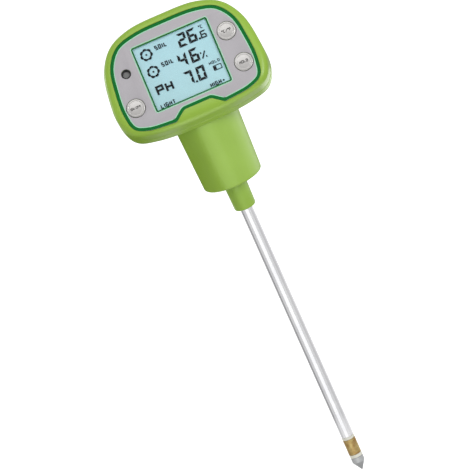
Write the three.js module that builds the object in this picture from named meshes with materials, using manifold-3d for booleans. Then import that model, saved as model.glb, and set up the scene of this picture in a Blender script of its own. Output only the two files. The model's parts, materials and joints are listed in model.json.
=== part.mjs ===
// A hand-held digital soil meter: a wide head with a display, tilted back on a tapered grip barrel,
// and a 200 mm metal probe that is pushed into the soil.
// Units are millimetres. +Z is up along the probe, the display looks towards -Y and upwards,
// and the origin is the point of the probe.
import * as THREE from "three";
import { mergeVertices } from "three/addons/utils/BufferGeometryUtils.js";
import Module from "manifold-3d";

const wasm = await Module();
wasm.setup();

// ---------------------------------------------------------------- driving dimensions
const GAP = 0.3; // clearance between pieces that touch
const WALL = 2.2; // thickness of the mouldings
const BITE = 0.5; // how far two solids reach into each other where they are joined
const CLEAR = 1; // how far a cutting solid runs past the piece that it cuts

const HEAD_TILT = THREE.MathUtils.degToRad(35); // the face leans back from the probe's axis
const HEAD_Y = -20; // centre of the display, on the plane of the bezel's crest
const HEAD_Z = 314;
const HEAD_DEPTH = 24;
const HEAD_EDGE = 4; // rounding of the head's front and back edges
const PARTING = -13; // plane where the front and rear mouldings meet, behind the bezel's crest
const OUTLINE_STEPS = 48;

const POCKET = -1.2; // floor of the shallow pocket that the faceplate lies in
const PLATE_THICK = 0.5;
const FACE_BACK = POCKET - 2; // inner side of the front cover

const WINDOW_W = 54;
const WINDOW_H = 47.6;
const WINDOW_CORNER = 1.5;
const BUTTON_R = 6.2;
const BUTTON_HOLE_R = 6.55;
const BUTTONS = { power: [-38.5, -15.2], unit: [35.9, 9.1], hold: [38.5, -15.2] };
const SENSOR = [-35.9, 9];
const SENSOR_HOLE_R = 3.35;

const BOARD_TOP = -9.6; // the board's face towards the display
const BOARD_THICK = 1.6;
const HOUSING_SCREWS = [[-38.5, 22.5], [38.5, 22.5], [-37, -28], [37, -28]];
const BOARD_SCREWS = [[-24, 32.2], [24, 32.2], [-24, -31.7], [24, -31.7]];

const BARREL_BASE = 221.5;
const BARREL_BASE_R = 20.3;
const BARREL_TOP = 292; // where the domed top begins
const BARREL_TOP_R = 23;
const BARREL_EDGE = 1.3;
const BARREL_STEPS = 40;

const DOOR_HALF = 14; // half width of the battery doorway
const DOOR_LOW = 235;
const DOOR_HIGH = 289;
const DOOR_NEAR = 5; // the doorway's depth in y, from inside the bore to outside the barrel
const DOOR_FAR = 40;

const PROBE_EXIT = 200; // length of probe below the collar
const PROBE_R = 4.3;
const PROBE_BORE_R = 3.5;
const ROUND = 24; // sides of the small round pieces

// ---------------------------------------------------------------- helpers
function solid(geometry) {
  const bare = geometry.clone();
  bare.deleteAttribute("normal");
  bare.deleteAttribute("uv");
  const merged = mergeVertices(bare, 1e-4);
  return new wasm.Manifold(
    new wasm.Mesh({
      numProp: 3,
      vertProperties: merged.attributes.position.array,
      triVerts: new Uint32Array(merged.index.array),
    }),
  );
}

function geometryOf(manifold) {
  const { numProp, vertProperties, triVerts } = manifold.getMesh();
  const positions = new Float32Array((vertProperties.length / numProp) * 3);
  for (let i = 0; i < positions.length / 3; i++) {
    positions.set(vertProperties.subarray(i * numProp, i * numProp + 3), i * 3);
  }
  const geometry = new THREE.BufferGeometry();
  geometry.setAttribute("position", new THREE.BufferAttribute(positions, 3));
  geometry.setIndex(new THREE.BufferAttribute(triVerts, 1));
  geometry.computeVertexNormals();
  return geometry;
}

const joined = (solids) => solids.reduce((sum, next) => sum.add(next));

// A flat outline pulled from z = low to z = high.
function prism(shape, low, high, curveSegments = 12) {
  const options = { depth: high - low, bevelEnabled: false, curveSegments };
  return new THREE.ExtrudeGeometry(shape, options).translate(0, 0, low);
}

function box(width, depth, height, x, y, z) {
  return new THREE.BoxGeometry(width, depth, height).translate(x, y, z);
}

// A box given by its lowest and highest corners.
function block(low, high) {
  const size = high.map((value, i) => value - low[i]);
  const middle = high.map((value, i) => (value + low[i]) / 2);
  return box(...size, ...middle);
}

// A profile of [radius, z] points turned about the Z axis.
function turned(profile, steps = ROUND) {
  const points = profile.map(([radius, z]) => new THREE.Vector2(radius, z));
  return new THREE.LatheGeometry(points, steps).rotateX(Math.PI / 2);
}

function disc(radius, low, high, x = 0, y = 0, steps = ROUND) {
  return turned([[0, low], [radius, low], [radius, high], [0, high]], steps).translate(x, y, 0);
}

function ring(inner, outer, low, high, x = 0, y = 0, steps = ROUND) {
  const profile = [[inner, low], [outer, low], [outer, high], [inner, high], [inner, low]];
  return turned(profile, steps).translate(x, y, 0);
}

function arc(cx, cy, radius, from, to, steps) {
  return Array.from({ length: steps + 1 }, (_, i) => {
    const angle = from + ((to - from) * i) / steps;
    return [cx + radius * Math.cos(angle), cy + radius * Math.sin(angle)];
  });
}

function roundedRectangle(width, height, radius, cx = 0, cy = 0) {
  const shape = new THREE.Shape();
  const [x, y] = [width / 2 - radius, height / 2 - radius];
  shape.absarc(cx + x, cy + y, radius, 0, Math.PI / 2);
  shape.absarc(cx - x, cy + y, radius, Math.PI / 2, Math.PI);
  shape.absarc(cx - x, cy - y, radius, Math.PI, Math.PI * 1.5);
  shape.absarc(cx + x, cy - y, radius, Math.PI * 1.5, Math.PI * 2);
  return shape;
}

function circlePath(radius, x, y) {
  return new THREE.Path().absarc(x, y, radius, 0, Math.PI * 2, true);
}

// Moves every point of a closed anticlockwise outline inwards along its own normal.
function inset(points, distance) {
  return points.map((point, i) => {
    const before = points[(i + points.length - 1) % points.length];
    const after = points[(i + 1) % points.length];
    const along = after.clone().sub(before).normalize();
    return new THREE.Vector2(point.x - along.y * distance, point.y + along.x * distance);
  });
}

// A round wire along a smooth curve through the points.
function wire(points, radius, steps = 16) {
  const path = new THREE.CatmullRomCurve3(points.map((p) => new THREE.Vector3(...p)));
  const section = new THREE.Shape(
    arc(0, 0, radius, 0, Math.PI * 2, 8).slice(0, 8).map(([x, y]) => new THREE.Vector2(x, y)),
  );
  return new THREE.ExtrudeGeometry(section, { steps, bevelEnabled: false, extrudePath: path });
}

// ---------------------------------------------------------------- materials
function material(color, roughness, metalness = 0) {
  return new THREE.MeshStandardMaterial({ color, roughness, metalness });
}

const GREEN_PLASTIC = material(0x8cbf3f, 0.45);
const GREY_FOIL = material(0xc3bfc4, 0.4, 0.3);
const PEARL_GREY = material(0xd6d5d2, 0.35, 0.4);
const BLACK_PLASTIC = material(0x1c1c1e, 0.5);
const WHITE_PLASTIC = material(0xe9e9e4, 0.5);
const CLEAR_ACRYLIC = material(0xdff1f5, 0.05);
const DISPLAY_GLASS = material(0xa9d3dc, 0.15);
const BOARD_GREEN = material(0x1f6b3a, 0.5);
const RUBBER = material(0x2a2a2a, 0.9);
const STEEL = material(0xb9bbbd, 0.3, 1);
const ALUMINIUM = material(0xd9dadb, 0.25, 1);
const BRASS = material(0xc79a4a, 0.35, 1);
const ZINC = material(0x9a9ea0, 0.45, 0.9);
const BATTERY_SKIN = material(0x33363b, 0.4, 0.3);
const FOAM = material(0x3b3b3d, 1);
const CHIP_RESIN = material(0x26282b, 0.6);

// ---------------------------------------------------------------- outlines of the face
// Right half of the head's outline, from the middle of the bottom edge to the middle of the top edge.
const HEAD_HALF = [
  [0, -38], [34, -35.8], [47.5, -31.2], [53.2, -20], [53.2, -3],
  [49.2, 17], [39.5, 30.9], [24, 37.6], [0, 39],
];
// Right half of the faceplate's outline, from the notch over the grip to the middle of the top edge.
const PLATE_HALF = [
  [17.2, -35], [36.5, -32.7], [44.9, -28.3], [47.8, -17], [47.2, 0],
  [43.9, 17], [35.4, 28.1], [22, 32.4], [0, 33.4],
];
const NOTCH = [[-9.6, -29.1], [9.6, -29.1]];

function mirrored(half, closed) {
  const left = half.slice(closed ? 1 : 0, -1).reverse().map(([x, y]) => [-x, y]);
  return [...half, ...left];
}

function splinePoints(pairs, closed, steps) {
  const corners = pairs.map(([x, y]) => new THREE.Vector3(x, y, 0));
  const path = new THREE.CatmullRomCurve3(corners, closed, "centripetal");
  const points = path.getSpacedPoints(steps).map((p) => new THREE.Vector2(p.x, p.y));
  return closed ? points.slice(0, -1) : points;
}

const headOutline = splinePoints(mirrored(HEAD_HALF, true), true, OUTLINE_STEPS);
const plateOutline = [
  ...splinePoints(mirrored(PLATE_HALF, false), false, OUTLINE_STEPS),
  ...NOTCH.map(([x, y]) => new THREE.Vector2(x, y)),
];

// ---------------------------------------------------------------- the object
const meter = new THREE.Group();
const head = new THREE.Group();
head.rotation.x = Math.PI / 2 - HEAD_TILT;
head.position.set(0, HEAD_Y, HEAD_Z);
head.updateMatrix();
meter.add(head);

function add(group, name, geometry, finish) {
  const mesh = new THREE.Mesh(geometry, finish);
  mesh.name = name;
  group.add(mesh);
}

const toHead = head.matrix.clone().invert();
const inHeadFrame = (geometry) => geometry.clone().applyMatrix4(toHead);

// The whole head as one rounded block, from the bezel's crest to the back.
function headBlock() {
  const options = {
    depth: HEAD_DEPTH - 2 * HEAD_EDGE,
    bevelThickness: HEAD_EDGE,
    bevelSize: HEAD_EDGE,
    bevelOffset: -HEAD_EDGE,
    bevelSegments: 3,
  };
  const geometry = new THREE.ExtrudeGeometry(new THREE.Shape(headOutline), options);
  return geometry.translate(0, 0, HEAD_EDGE - HEAD_DEPTH);
}

const headInside = new THREE.Shape(inset(headOutline, WALL));
const WIDE = 80; // half the width of a block that takes in the whole head
const everything = (low, high) => solid(block([-WIDE, -WIDE, low], [WIDE, WIDE, high]));
// One round cutter or boss at each place.
const discs = (places, radius, low, high, steps) =>
  places.map(([x, y]) => solid(disc(radius, low, high, x, y, steps)));

// ---------------------------------------------------------------- front cover
const BOSS_R = 3.2;
const PILOT_R = 1.5;
const POST_R = 2.3;
const POST_PILOT_R = 1.1;
const POCKET_MARGIN = 0.2; // the pocket is this much larger all round than the faceplate

function frontCover() {
  const shell = solid(headBlock())
    .intersect(everything(PARTING, CLEAR))
    .subtract(solid(prism(headInside, PARTING - CLEAR, FACE_BACK)));
  const bosses = discs(HOUSING_SCREWS, BOSS_R, PARTING + BITE, FACE_BACK + BITE, 12);
  const posts = discs(BOARD_SCREWS, POST_R, BOARD_TOP + GAP, FACE_BACK + BITE, 12);
  const pilots = discs(HOUSING_SCREWS, PILOT_R, PARTING - CLEAR, FACE_BACK, 8);
  const postPilots = discs(BOARD_SCREWS, POST_PILOT_R, BOARD_TOP - CLEAR, FACE_BACK - CLEAR, 8);
  const pocket = solid(prism(new THREE.Shape(inset(plateOutline, -POCKET_MARGIN)), POCKET, CLEAR));
  const windowShape = roundedRectangle(WINDOW_W, WINDOW_H, WINDOW_CORNER);
  const window = solid(prism(windowShape, FACE_BACK - CLEAR, CLEAR, 4));
  const buttonHoles = discs(Object.values(BUTTONS), BUTTON_HOLE_R, FACE_BACK - CLEAR, CLEAR);
  const sensorHole = discs([SENSOR], SENSOR_HOLE_R, FACE_BACK - CLEAR, CLEAR);
  const cuts = joined([...pilots, ...postPilots, pocket, window, ...buttonHoles, ...sensorHole]);
  return joined([shell, ...bosses, ...posts]).subtract(cuts);
}
add(head, "front_cover", geometryOf(frontCover()), GREEN_PLASTIC);

// ---------------------------------------------------------------- grip barrel and rear housing
const barrelRadius = (z) =>
  BARREL_BASE_R + ((BARREL_TOP_R - BARREL_BASE_R) * (z - BARREL_BASE)) / (BARREL_TOP - BARREL_BASE);

// The barrel's outside, or with an inset its inside: a taper with a domed top.
function barrel(insetBy, base) {
  const edge = insetBy ? 0.4 : BARREL_EDGE;
  const foot = barrelRadius(base) - insetBy;
  const dome = arc(0, BARREL_TOP, BARREL_TOP_R - insetBy, 0, Math.PI / 2, 7);
  dome[dome.length - 1][0] = 0;
  const corner = arc(foot - edge, base + edge, edge, -Math.PI / 2, 0, 3);
  return turned([[0, base], ...corner, ...dome], BARREL_STEPS);
}

const FLOOR = BARREL_BASE + 2.4; // inner floor of the barrel
const SPIGOT_R = 6.2; // the collar's neck, which passes through the barrel's floor
const BACK = -HEAD_DEPTH;
const SCREW_SEAT = -16.4; // where the housing screws' heads bear, inside their counterbores
const COUNTERBORE_R = 3.3;
const FAR = 150; // further behind the head's back than any of the barrel

function rearHousing() {
  const behindBack = everything(BACK - FAR, BACK + WALL + BITE);
  const headPart = solid(headBlock()).intersect(everything(BACK - FAR, PARTING - GAP));
  const barrelPart = solid(inHeadFrame(barrel(0, BARREL_BASE))).intersect(behindBack);
  const hollow = solid(prism(headInside, BACK + WALL, CLEAR));
  const boreZone = everything(BACK - FAR, BACK + WALL + CLEAR);
  const bore = solid(inHeadFrame(barrel(WALL, FLOOR))).intersect(boreZone);
  const shell = headPart.add(barrelPart).subtract(hollow).subtract(bore);
  const bosses = discs(HOUSING_SCREWS, BOSS_R + 1, BACK + CLEAR, PARTING - GAP, 12);
  const shanks = discs(HOUSING_SCREWS, PILOT_R + GAP, BACK - CLEAR, CLEAR, 8);
  const seats = discs(HOUSING_SCREWS, COUNTERBORE_R, BACK - CLEAR, SCREW_SEAT, 12);
  const doorBlock = block([-DOOR_HALF, DOOR_NEAR, DOOR_LOW], [DOOR_HALF, DOOR_FAR, DOOR_HIGH]);
  const doorway = solid(inHeadFrame(doorBlock));
  const collarHole = solid(inHeadFrame(disc(SPIGOT_R + GAP, BARREL_BASE - CLEAR, FLOOR + CLEAR)));
  return joined([shell, ...bosses]).subtract(joined([...shanks, ...seats, doorway, collarHole]));
}
add(head, "rear_housing", geometryOf(rearHousing()), GREEN_PLASTIC);

// ---------------------------------------------------------------- faceplate and display
const PLATE_BACK = POCKET + GAP;
const PLATE_FRONT = PLATE_BACK + PLATE_THICK;

function faceplate() {
  const shape = new THREE.Shape(plateOutline);
  shape.holes.push(
    new THREE.Path(roundedRectangle(WINDOW_W, WINDOW_H, WINDOW_CORNER).getPoints(4)),
    ...Object.values(BUTTONS).map(([x, y]) => circlePath(BUTTON_HOLE_R, x, y)),
    circlePath(SENSOR_HOLE_R, ...SENSOR),
  );
  return prism(shape, PLATE_BACK, PLATE_FRONT, 16);
}
add(head, "faceplate", faceplate(), GREY_FOIL);

const LCD_W = 57;
const LCD_H = 53.4;
const LCD_FRONT = FACE_BACK - GAP; // front of the rear glass, which is wider than the window
const LCD_BACK = LCD_FRONT - 2.8;
const LCD_FACE = -1.5; // front of the front glass, which stands in the window
const LCD_MARGIN = 0.5; // between the front glass and the window's edge

function lcdGlass() {
  const frontShape = roundedRectangle(WINDOW_W - 2 * LCD_MARGIN, WINDOW_H - 2 * LCD_MARGIN, 1);
  const frontGlass = solid(prism(frontShape, LCD_FRONT - BITE, LCD_FACE, 4));
  const rearGlass = solid(block([-LCD_W / 2, -LCD_H / 2, LCD_BACK], [LCD_W / 2, LCD_H / 2, LCD_FRONT]));
  return geometryOf(frontGlass.add(rearGlass));
}
add(head, "lcd_glass", lcdGlass(), DISPLAY_GLASS);

const lensShape = roundedRectangle(WINDOW_W - 2 * GAP, WINDOW_H - 2 * GAP, WINDOW_CORNER - GAP);
add(head, "display_lens", prism(lensShape, LCD_FACE + GAP, PLATE_FRONT - 0.1, 4), CLEAR_ACRYLIC);

const HOLDER_WALL = 2;
const HOLDER_SETBACK = 1.6; // the holder's rim is behind the rear glass's front

function lcdHolder() {
  const [width, height] = [LCD_W + 2 * GAP, LCD_H + 2 * GAP];
  const shape = roundedRectangle(width + 2 * HOLDER_WALL, height + 2 * HOLDER_WALL, 1);
  shape.holes.push(new THREE.Path(roundedRectangle(width, height, GAP).getPoints(2)));
  return prism(shape, BOARD_TOP + GAP, LCD_FRONT - HOLDER_SETBACK, 2);
}
add(head, "lcd_holder", lcdHolder(), WHITE_PLASTIC);

const STRIP_HALF_W = 26;
const STRIP_HALF_H = 1.1;
const STRIP_Y = LCD_H / 2 - 1.8;
const STRIP_GAP = 0.2;
for (const [name, y] of [["zebra_strip_upper", STRIP_Y], ["zebra_strip_lower", -STRIP_Y]]) {
  const low = [-STRIP_HALF_W, y - STRIP_HALF_H, BOARD_TOP + STRIP_GAP];
  const high = [STRIP_HALF_W, y + STRIP_HALF_H, LCD_BACK - STRIP_GAP];
  add(head, name, block(low, high), RUBBER);
}
const BACKLIGHT_BACK = LCD_BACK - 2.2;
const backlight = block([-27, -22.5, BACKLIGHT_BACK], [28, 22.5, LCD_BACK - GAP]);
add(head, "lcd_backlight", backlight, WHITE_PLASTIC);

// ---------------------------------------------------------------- circuit board
function mainBoard() {
  const plate = prism(new THREE.Shape(inset(headOutline, WALL + 1.2)), BOARD_TOP - BOARD_THICK, BOARD_TOP);
  const holes = [
    ...HOUSING_SCREWS.map(([x, y]) => disc(BOSS_R + 0.5, BOARD_TOP - 3, BOARD_TOP + 1, x, y, 16)),
    ...BOARD_SCREWS.map(([x, y]) => disc(1.3, BOARD_TOP - 3, BOARD_TOP + 1, x, y, 12)),
  ];
  return solid(plate).subtract(joined(holes.map(solid)));
}
add(head, "main_board", geometryOf(mainBoard()), BOARD_GREEN);

const BOARD_BACK = BOARD_TOP - BOARD_THICK;
const MOUNTED = BOARD_BACK - 0.2; // where the parts on the board's back begin
add(head, "controller_chip", block([-7, 4, MOUNTED - 2], [7, 18, MOUNTED]), CHIP_RESIN);
add(head, "crystal_can", block([11, 8, MOUNTED - 3.2], [14.5, 18, MOUNTED]), STEEL);
add(head, "smoothing_capacitor", disc(3.1, MOUNTED - 7.5, MOUNTED, -17, 12, 16), BLACK_PLASTIC);
add(head, "probe_connector", block([-6, -12, MOUNTED - 5], [6, -6.5, MOUNTED]), WHITE_PLASTIC);

// Pan-headed screws, driven from behind, so that each head is at its low end.
function screw(shankR, headR, headHeight, seat, tip, x, y) {
  const crown = [[0, seat - headHeight], [headR * 0.8, seat - headHeight], [headR, seat - headHeight / 2]];
  const shank = [[headR, seat], [shankR, seat], [shankR, tip - 1], [0, tip]];
  return turned([...crown, ...shank], 12).translate(x, y, 0);
}
HOUSING_SCREWS.forEach(([x, y], i) => {
  add(head, `housing_screw_${i + 1}`, screw(1.3, 2.8, 2, SCREW_SEAT - 0.2, FACE_BACK - 1.2, x, y), STEEL);
});
BOARD_SCREWS.forEach(([x, y], i) => {
  add(head, `board_screw_${i + 1}`, screw(0.9, 2, 1.4, BOARD_BACK - 0.2, FACE_BACK - 2, x, y), STEEL);
});

// ---------------------------------------------------------------- buttons and their switches
const TRAVEL = 0.5; // the switches' stroke, which joint limits repeat
const FLANGE_FRONT = FACE_BACK - GAP; // the flange that keeps a button from falling out
const FLANGE_BACK = FLANGE_FRONT - 0.8;
const FLANGE_R = 6.95;
const STEM_R = 2.4;
const SWITCH_FRONT = BOARD_TOP + 3.6;
const SWITCH_HALF = 3;
const PLUNGER_FRONT = SWITCH_FRONT + 0.9;
const PLUNGER_BACK = SWITCH_FRONT - 1.8;
const PLUNGER_R = 1.7;

function buttonCap(x, y) {
  const stem = [[0, PLUNGER_FRONT + 0.1], [STEM_R, PLUNGER_FRONT + 0.1], [STEM_R, FLANGE_BACK]];
  const flange = [[FLANGE_R, FLANGE_BACK], [FLANGE_R, FLANGE_FRONT], [BUTTON_R, FLANGE_FRONT]];
  const crown = [[BUTTON_R, -0.35], [BUTTON_R - 0.5, 0.1], [4, 0.35], [0, 0.45]];
  return turned([...stem, ...flange, ...crown]).translate(x, y, 0);
}

function switchBody(x, y) {
  const low = [x - SWITCH_HALF, y - SWITCH_HALF, BOARD_TOP + 0.2];
  const high = [x + SWITCH_HALF, y + SWITCH_HALF, SWITCH_FRONT];
  const wellFloor = PLUNGER_BACK - TRAVEL - 0.4;
  const well = disc(PLUNGER_R + 0.4, wellFloor, SWITCH_FRONT + CLEAR, x, y, 12);
  return geometryOf(solid(block(low, high)).subtract(solid(well)));
}

for (const [name, [x, y]] of Object.entries(BUTTONS)) {
  add(head, `${name}_button`, buttonCap(x, y), PEARL_GREY);
  add(head, `${name}_plunger`, disc(PLUNGER_R, PLUNGER_BACK, PLUNGER_FRONT, x, y, 12), BLACK_PLASTIC);
  add(head, `${name}_switch`, switchBody(x, y), BLACK_PLASTIC);
}

// ---------------------------------------------------------------- light sensor
const CELL_FRONT = -2.2;

function lightCell([x, y]) {
  const legs = [-1.2, 1.2].map((dx) => solid(disc(0.3, BOARD_TOP + 0.2, CELL_FRONT - 1, x + dx, y, 6)));
  return geometryOf(joined([solid(disc(2.45, CELL_FRONT - 2, CELL_FRONT, x, y)), ...legs]));
}
add(head, "light_cell", lightCell(SENSOR), ZINC);
const shroud = ring(2.7, SENSOR_HOLE_R - GAP, CELL_FRONT - 3, PLATE_FRONT - 0.1, ...SENSOR);
add(head, "sensor_shroud", shroud, BLACK_PLASTIC);

// ---------------------------------------------------------------- battery, its snap and its door
const BATTERY_LOW = 236.5;
const BATTERY_HIGH = 282.5;
const BATTERY_Y = 2.6;
const STUD_PLACES = [[-6.3, BATTERY_Y], [6.3, BATTERY_Y]];
const STUD_R = 3;
const STUD_HEIGHT = 2;
const SNAP_HIGH = BATTERY_HIGH + 4.8;

function battery() {
  const body = prism(roundedRectangle(26, 17, 2, 0, BATTERY_Y), BATTERY_LOW, BATTERY_HIGH, 3);
  const studs = discs(STUD_PLACES, STUD_R, BATTERY_HIGH - BITE, BATTERY_HIGH + STUD_HEIGHT, 12);
  return geometryOf(joined([solid(body), ...studs]));
}
add(meter, "battery_9v", battery(), BATTERY_SKIN);

function batterySnap() {
  const pad = prism(roundedRectangle(25, 12, 3, 0, BATTERY_Y), BATTERY_HIGH + GAP, SNAP_HIGH, 3);
  const socketTop = BATTERY_HIGH + STUD_HEIGHT + 0.4;
  const sockets = discs(STUD_PLACES, STUD_R + 0.4, BATTERY_HIGH - CLEAR, socketTop, 16);
  return geometryOf(solid(pad).subtract(joined(sockets)));
}
add(meter, "battery_snap", batterySnap(), BLACK_PLASTIC);

// Points of the head's own frame, carried into the probe's frame for the wires.
const headPoint = (x, y, z) => new THREE.Vector3(x, y, z).applyMatrix4(head.matrix).toArray();
const LEAD_R = 0.65;
const LEAD_FOOT = SNAP_HIGH + GAP;
const BATTERY_LEADS = [
  { name: "battery_lead_red", side: 1, finish: material(0xb3261e, 0.5) },
  { name: "battery_lead_black", side: -1, finish: BLACK_PLASTIC },
];
for (const { name, side, finish } of BATTERY_LEADS) {
  const route = [
    [side * 9, BATTERY_Y, LEAD_FOOT], [side * 9.5, BATTERY_Y - 1, LEAD_FOOT + 5], [side * 12, -4, 297],
    headPoint(side * 18, -4, MOUNTED - 5), headPoint(side * 20, -3, MOUNTED - 0.2),
  ];
  add(meter, name, wire(route, LEAD_R), finish);
}

const DOOR_GAP = 0.4; // all round the door
const DOOR_THICK = 2;
const DOOR_RIBS = 5;
const RIB_PITCH = 1.6;
const RIB_PROUD = 0.5;
const TAB_X = 7.5; // the two hook tabs, to each side of the middle
const TAB_HALF = 2;
const TAB_FRONT = 14.6;

function batteryDoor() {
  const [half, low, high] = [DOOR_HALF - DOOR_GAP, DOOR_LOW + DOOR_GAP, DOOR_HIGH - DOOR_GAP];
  const shell = (outside, inside) =>
    solid(barrel(-outside, BARREL_BASE)).subtract(solid(barrel(inside, BARREL_BASE + 1)));
  const opening = block([-half, DOOR_NEAR, low], [half, DOOR_FAR, high]);
  const skin = shell(0, DOOR_THICK).intersect(solid(opening));
  const ribs = Array.from({ length: DOOR_RIBS }, (_, i) => {
    const z = high - 9 + i * RIB_PITCH;
    const reach = 6.5 - i * 0.6;
    return solid(block([-reach, DOOR_NEAR, z], [reach, DOOR_FAR, z + RIB_PITCH / 2]));
  });
  const tabs = [-TAB_X, TAB_X].map((x) => {
    const hook = block([x - TAB_HALF, TAB_FRONT, DOOR_LOW - 2.4], [x + TAB_HALF, TAB_FRONT + 1.1, low + 3]);
    const web = block([x - TAB_HALF, TAB_FRONT, low + 1], [x + TAB_HALF, TAB_FRONT + 3.6, low + 3]);
    return solid(hook).add(solid(web));
  });
  return joined([skin, joined(ribs).intersect(shell(RIB_PROUD, 1)), ...tabs]);
}
add(meter, "battery_door", geometryOf(batteryDoor()), GREEN_PLASTIC);
add(meter, "door_foam_pad", block([-9, 12, 246], [9, 16, 276]), FOAM);

// ---------------------------------------------------------------- probe collar and its fixing
const COLLAR_TOP = BARREL_BASE - 0.15;
const SPIGOT_TOP = FLOOR + 4.6;
const COLLAR_R = 7.4;
const COLLAR_EDGE = 1.5;
const SEAL_R = 7.2;
const SEAL_BORE_R = 6.8;
const SEAL_DEPTH = 0.8;
const STEP = 0.15; // face clearance between the stacked pieces of the probe

function collar() {
  const bore = PROBE_R + STEP;
  const foot = arc(COLLAR_R - COLLAR_EDGE, PROBE_EXIT + COLLAR_EDGE, COLLAR_EDGE, -Math.PI / 2, 0, 3);
  const flare = [[COLLAR_R + 0.5, COLLAR_TOP - 1.2], [COLLAR_R + 0.9, COLLAR_TOP]];
  const grooveFloor = COLLAR_TOP - SEAL_DEPTH - 0.1;
  const sealGroove = [
    [SEAL_R + 0.1, COLLAR_TOP], [SEAL_R + 0.1, grooveFloor],
    [SEAL_BORE_R - 0.1, grooveFloor], [SEAL_BORE_R - 0.1, COLLAR_TOP],
  ];
  const spigot = [[SPIGOT_R, COLLAR_TOP], [SPIGOT_R, SPIGOT_TOP], [bore, SPIGOT_TOP]];
  return turned([[bore, PROBE_EXIT], ...foot, ...flare, ...sealGroove, ...spigot, [bore, PROBE_EXIT]]);
}
add(meter, "probe_collar", collar(), GREEN_PLASTIC);
add(meter, "collar_seal", ring(SEAL_BORE_R, SEAL_R, COLLAR_TOP - SEAL_DEPTH, COLLAR_TOP), RUBBER);

function hexNut(across, bore, low, high) {
  const corners = arc(0, 0, across / Math.sqrt(3), 0, Math.PI * 2, 6).slice(0, 6);
  const shape = new THREE.Shape(corners.map(([x, y]) => new THREE.Vector2(x, y)));
  shape.holes.push(circlePath(bore, 0, 0));
  return prism(shape, low, high, 12);
}
const NUT_ACROSS = 17;
add(meter, "collar_nut", hexNut(NUT_ACROSS, SPIGOT_R + 0.25, FLOOR + GAP, FLOOR + 4), STEEL);

// ---------------------------------------------------------------- probe
const TIP_CONE = 6.7;
const TIP_TOP = 10.2;
const BAND_LOW = 12.5;
const BAND_HIGH = 23.8;
const TUBE_LOW = 25.8;
const TUBE_TOP = SPIGOT_TOP + 1.2;
const CORE_R = 3.1;

add(meter, "probe_tube", ring(PROBE_BORE_R, PROBE_R, TUBE_LOW, TUBE_TOP), ALUMINIUM);
add(meter, "upper_insulator", ring(CORE_R + STEP, PROBE_R, BAND_HIGH + STEP, TUBE_LOW - STEP), WHITE_PLASTIC);
add(meter, "brass_band", ring(CORE_R + STEP, PROBE_R, BAND_LOW + STEP, BAND_HIGH), BRASS);
add(meter, "lower_insulator", ring(CORE_R + STEP, PROBE_R, TIP_TOP + STEP, BAND_LOW), WHITE_PLASTIC);

// The tip is hollow at the back, where the temperature sensor sits.
const tipProfile = [[0, 0], [PROBE_R, TIP_CONE], [PROBE_R, TIP_TOP], [1.9, TIP_TOP], [1.9, 5], [0, 5]];
add(meter, "probe_tip", turned(tipProfile), ZINC);
add(meter, "probe_core", ring(2, CORE_R, TIP_TOP + STEP, 44, 0, 0, 16), WHITE_PLASTIC);
add(meter, "thermistor", turned([[0, 5.6], [1, 6], [1.3, 7.2], [1, 8.4], [0, 8.8]], 12), BLACK_PLASTIC);

// Three leads come up inside the tube, pass in front of the battery and plug into the board.
const LEAD_STARTS = [
  { name: "probe_lead_tip", bottom: 9.2, x: 0, finish: material(0xd9d9d6, 0.5) },
  { name: "probe_lead_band", bottom: 45, x: -1.9, finish: material(0xc98a1b, 0.5) },
  { name: "probe_lead_tube", bottom: 45, x: 1.9, finish: material(0x2456a8, 0.5) },
];
const PROBE_LEAD_R = 0.6;
for (const { name, bottom, x, finish } of LEAD_STARTS) {
  const route = [
    [x, 0, bottom], [x, 0, 120], [x, 0, TUBE_TOP - 3],
    [x, -1.5, TUBE_TOP + 1.5], [x, -9.5, TUBE_TOP + 7], [x, -12, 255],
    headPoint(x, -20, MOUNTED - 12), headPoint(x, -12, MOUNTED - 9),
    headPoint(x, -9.2, MOUNTED - 5.3),
  ];
  add(meter, name, wire(route, PROBE_LEAD_R, 28), finish);
}

export default meter;
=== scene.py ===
# %% [markdown]
# # A hand-held soil meter
# The meter has a wide head with a display, a tapered grip and a 200 mm probe that goes into the soil.
# The engineering model gives every piece its place and size. This lesson puts a finely rounded,
# well finished piece over each of its plain solids, one cell at a time.

# %% Load the meter's frame
import json
import math

import bmesh
import bpy
from mathutils import Matrix, Vector


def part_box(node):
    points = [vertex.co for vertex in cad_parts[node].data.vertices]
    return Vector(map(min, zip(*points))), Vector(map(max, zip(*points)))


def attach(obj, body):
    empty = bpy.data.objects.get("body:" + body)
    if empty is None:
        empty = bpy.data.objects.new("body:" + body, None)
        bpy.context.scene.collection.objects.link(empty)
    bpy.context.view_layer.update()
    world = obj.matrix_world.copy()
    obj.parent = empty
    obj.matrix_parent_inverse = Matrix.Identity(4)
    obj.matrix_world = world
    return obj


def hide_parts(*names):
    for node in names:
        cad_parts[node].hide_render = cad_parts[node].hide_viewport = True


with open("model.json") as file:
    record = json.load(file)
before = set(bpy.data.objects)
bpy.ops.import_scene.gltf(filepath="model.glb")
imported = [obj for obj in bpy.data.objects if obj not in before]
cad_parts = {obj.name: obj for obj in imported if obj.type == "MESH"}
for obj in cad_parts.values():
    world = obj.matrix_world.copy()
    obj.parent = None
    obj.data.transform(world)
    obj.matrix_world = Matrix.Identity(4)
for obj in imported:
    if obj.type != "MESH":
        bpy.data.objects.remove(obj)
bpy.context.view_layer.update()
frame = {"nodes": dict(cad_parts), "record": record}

# %% [markdown]
# ## Two sets of axes
# The probe and grip are drawn in the meter's own axes, with the point of the probe at the origin.
# The head leans back, so its pieces are far easier to draw flat and then lay on the lean: u runs across
# the face, v up the face, and w out of it. One matrix carries u, v, w to the meter's axes.
# The lean isn't typed in: the flat back of the head is a mounting face in the record, with its direction.

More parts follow.
